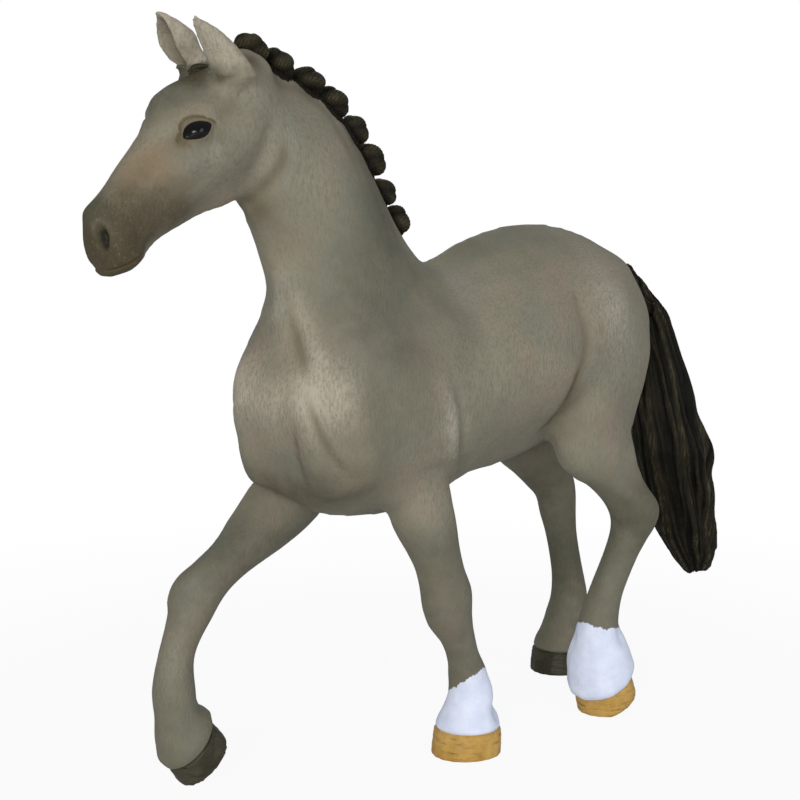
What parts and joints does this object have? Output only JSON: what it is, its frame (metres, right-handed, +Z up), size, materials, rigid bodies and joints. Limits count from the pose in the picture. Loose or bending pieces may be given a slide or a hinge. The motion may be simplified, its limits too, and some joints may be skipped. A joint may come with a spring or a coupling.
{
  "type": "toy horse figure",
  "caption": "Moulded toy horse at the trot, with a plaited mane, a long full tail, white socks on one diagonal and solid legs that stand on level ground.",
  "frame": {"origin": "on the ground, under the middle of the figure's box", "axes": "+Z up; -X the way the horse faces, so +X runs towards its tail; +Y its right side"},
  "size_m": [0.1364, 0.032, 0.1128],
  "materials": {
    "coat": "grey moulded vinyl with brown wash in the creases and fine hair grain",
    "mane_dark": "dark grey-brown paint, dry-brushed lighter on the plaits",
    "tail_dark": "black-brown paint, dry-brushed along the strands",
    "white_paint": "matt white brushed paint with a rough upper edge",
    "ochre_hoof": "ochre paint with fine lines along the hoof wall",
    "dark_hoof": "dark olive-grey paint fading into the coat",
    "eye": "gloss black"
  },
  "bodies": {
    "root": {"torso": "coat", "head": "coat", "left_eye": "eye", "right_eye": "eye", "left_foreleg": "coat", "left_fore_sock": "white_paint", "right_foreleg": "coat", "left_hindleg": "coat", "left_hind_sock": "white_paint", "right_hindleg": "coat", "left_fore_hoof": "ochre_hoof", "right_fore_hoof": "dark_hoof", "left_hind_hoof": "ochre_hoof", "right_hind_hoof": "dark_hoof", "forelock": "mane_dark", "mane_plait_1": "mane_dark", "mane_plait_2": "mane_dark", "mane_plait_3": "mane_dark", "mane_plait_4": "mane_dark", "mane_plait_5": "mane_dark", "mane_plait_6": "mane_dark", "mane_plait_7": "mane_dark", "mane_plait_8": "mane_dark", "tail": "tail_dark"}
  },
  "joints": []
}
